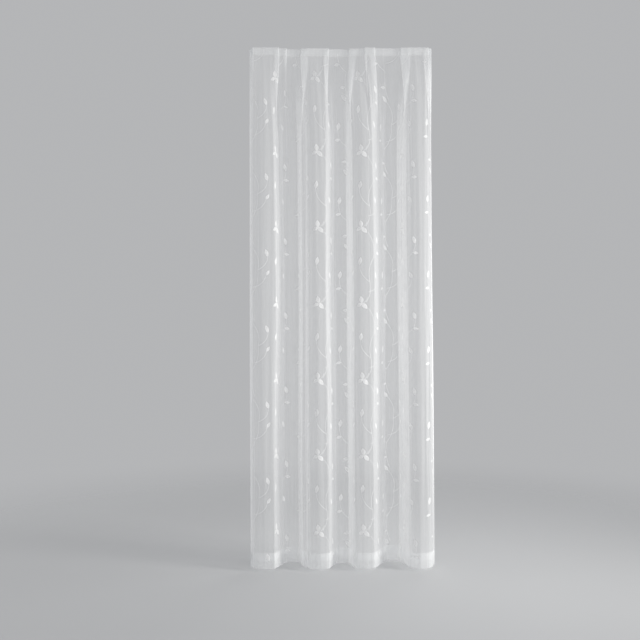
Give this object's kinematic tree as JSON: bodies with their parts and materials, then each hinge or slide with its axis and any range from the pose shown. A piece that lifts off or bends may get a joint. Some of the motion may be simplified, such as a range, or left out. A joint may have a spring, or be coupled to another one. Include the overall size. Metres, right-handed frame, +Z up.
{
  "type": "sheer voile curtain panel",
  "caption": "Long sheer curtain panel of patterned voile, hanging in soft deep folds from a narrow gathered tape heading, with a wide hem.",
  "frame": {"origin": "the middle of the top edge, in the plane that the heading's cloth is gathered about", "axes": "+Z up, +X to the right as seen from the room, -Y towards the room and +Y towards the window"},
  "size_m": [0.8825, 0.1668, 2.45],
  "materials": {
    "voile": "sheer plain weave with a denser satin leaf and stem figure",
    "tape": "narrow woven gathering tape with drawn cords"
  },
  "bodies": {
    "root": {"voile_panel": "voile", "heading_tape": "tape"}
  },
  "joints": []
}
